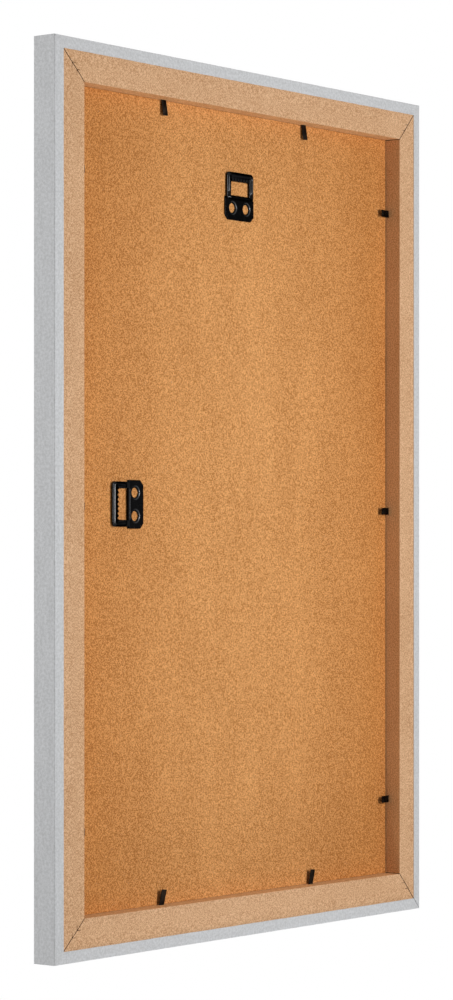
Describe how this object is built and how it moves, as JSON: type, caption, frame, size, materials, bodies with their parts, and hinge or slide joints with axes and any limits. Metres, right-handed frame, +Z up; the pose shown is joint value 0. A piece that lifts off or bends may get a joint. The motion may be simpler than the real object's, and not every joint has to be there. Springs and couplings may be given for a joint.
{
  "type": "picture frame",
  "caption": "Back-loading picture frame of foil-wrapped MDF rails with mitred corners, a hardboard back held by bendable tabs, and folding notched hangers for upright or sideways hanging.",
  "frame": {"origin": "where a nail carries the top hanger: the middle of the centre notch's root, half way through the loop's thickness", "axes": "+Z up along the frame's height, +Y out of the frame's back towards the wall, +X to the left as seen from the back; left and right in names are as seen from the back"},
  "size_m": [0.464, 0.0214, 0.664],
  "materials": {
    "mdf": "bare sawn MDF, tan with fine fibre flecks",
    "foil": "silver-grey printed foil with a fine grain, satin",
    "bright_steel": "plain steel strip",
    "glazing": "clear, polished",
    "paper": "blank, matt",
    "hardboard": "amber hardboard, fine mottle, low sheen",
    "black_steel": "black enamel, semi-gloss",
    "tab_steel": "black lacquered soft steel, semi-gloss"
  },
  "bodies": {
    "frame": {"top_rail": "mdf", "bottom_rail": "mdf", "left_rail": "mdf", "right_rail": "mdf", "top_foil": "foil", "bottom_foil": "foil", "left_foil": "foil", "right_foil": "foil", "top_left_outer_v_nail": "bright_steel", "top_left_inner_v_nail": "bright_steel", "top_right_outer_v_nail": "bright_steel", "top_right_inner_v_nail": "bright_steel", "bottom_left_outer_v_nail": "bright_steel", "bottom_left_inner_v_nail": "bright_steel", "bottom_right_outer_v_nail": "bright_steel", "bottom_right_inner_v_nail": "bright_steel", "glazing": "glazing", "insert_sheet": "paper", "backboard": "hardboard", "top_hanger_strap": "black_steel", "side_hanger_strap": "black_steel", "top_left_tab_shank": "tab_steel", "top_right_tab_shank": "tab_steel", "bottom_left_tab_shank": "tab_steel", "bottom_right_tab_shank": "tab_steel", "left_upper_tab_shank": "tab_steel", "left_middle_tab_shank": "tab_steel", "left_lower_tab_shank": "tab_steel", "right_upper_tab_shank": "tab_steel", "right_middle_tab_shank": "tab_steel", "right_lower_tab_shank": "tab_steel"},
    "top_hanger_loop": {"top_hanger_loop": "black_steel"},
    "side_hanger_loop": {"side_hanger_loop": "black_steel"},
    "top_left_tab": {"top_left_tab": "tab_steel"},
    "top_right_tab": {"top_right_tab": "tab_steel"},
    "bottom_left_tab": {"bottom_left_tab": "tab_steel"},
    "bottom_right_tab": {"bottom_right_tab": "tab_steel"},
    "left_upper_tab": {"left_upper_tab": "tab_steel"},
    "left_middle_tab": {"left_middle_tab": "tab_steel"},
    "left_lower_tab": {"left_lower_tab": "tab_steel"},
    "right_upper_tab": {"right_upper_tab": "tab_steel"},
    "right_middle_tab": {"right_middle_tab": "tab_steel"},
    "right_lower_tab": {"right_lower_tab": "tab_steel"}
  },
  "joints": [
    {"name": "top_hanger_swing", "type": "hinge", "parent": "frame", "child": "top_hanger_loop", "pos_m": [0, 0, -0.0133], "axis": [-1, 0, 0], "range_deg": [-2.5, 150]},
    {"name": "side_hanger_swing", "type": "hinge", "parent": "frame", "child": "side_hanger_loop", "pos_m": [0.1356, 0, -0.2509], "axis": [0, 0, 1], "range_deg": [-2.5, 150]},
    {"name": "top_left_tab_bend", "type": "hinge", "parent": "frame", "child": "top_left_tab", "pos_m": [0.09397, -0.00045, 0.05135], "axis": [0.999, 0, -0.0436], "range_deg": [-12, 78]},
    {"name": "top_right_tab_bend", "type": "hinge", "parent": "frame", "child": "top_right_tab", "pos_m": [-0.08403, -0.00045, 0.05135], "axis": [0.999, 0, -0.0436], "range_deg": [-12, 78]},
    {"name": "bottom_left_tab_bend", "type": "hinge", "parent": "frame", "child": "bottom_left_tab", "pos_m": [0.0979, 0.00065, -0.54916], "axis": [-0.9903, 0, -0.1392], "range_deg": [-18, 78]},
    {"name": "bottom_right_tab_bend", "type": "hinge", "parent": "frame", "child": "bottom_right_tab", "pos_m": [-0.09206, 0.00065, -0.54915], "axis": [-0.9962, 0, -0.0872], "range_deg": [-18, 78]},
    {"name": "left_upper_tab_bend", "type": "hinge", "parent": "frame", "child": "left_upper_tab", "pos_m": [0.20025, 0.00065, -0.0089], "axis": [0, 0, -1], "range_deg": [-18, 78]},
    {"name": "left_middle_tab_bend", "type": "hinge", "parent": "frame", "child": "left_middle_tab", "pos_m": [0.20025, 0.00065, -0.2529], "axis": [0, 0, -1], "range_deg": [-18, 78]},
    {"name": "left_lower_tab_bend", "type": "hinge", "parent": "frame", "child": "left_lower_tab", "pos_m": [0.20025, 0.00065, -0.4889], "axis": [0, 0, -1], "range_deg": [-18, 78]},
    {"name": "right_upper_tab_bend", "type": "hinge", "parent": "frame", "child": "right_upper_tab", "pos_m": [-0.20025, 0.00065, -0.0089], "axis": [0, 0, 1], "range_deg": [-18, 78]},
    {"name": "right_middle_tab_bend", "type": "hinge", "parent": "frame", "child": "right_middle_tab", "pos_m": [-0.20025, 0.00065, -0.2529], "axis": [0, 0, 1], "range_deg": [-18, 78]},
    {"name": "right_lower_tab_bend", "type": "hinge", "parent": "frame", "child": "right_lower_tab", "pos_m": [-0.20025, 0.00065, -0.4889], "axis": [0, 0, 1], "range_deg": [-18, 78]}
  ]
}
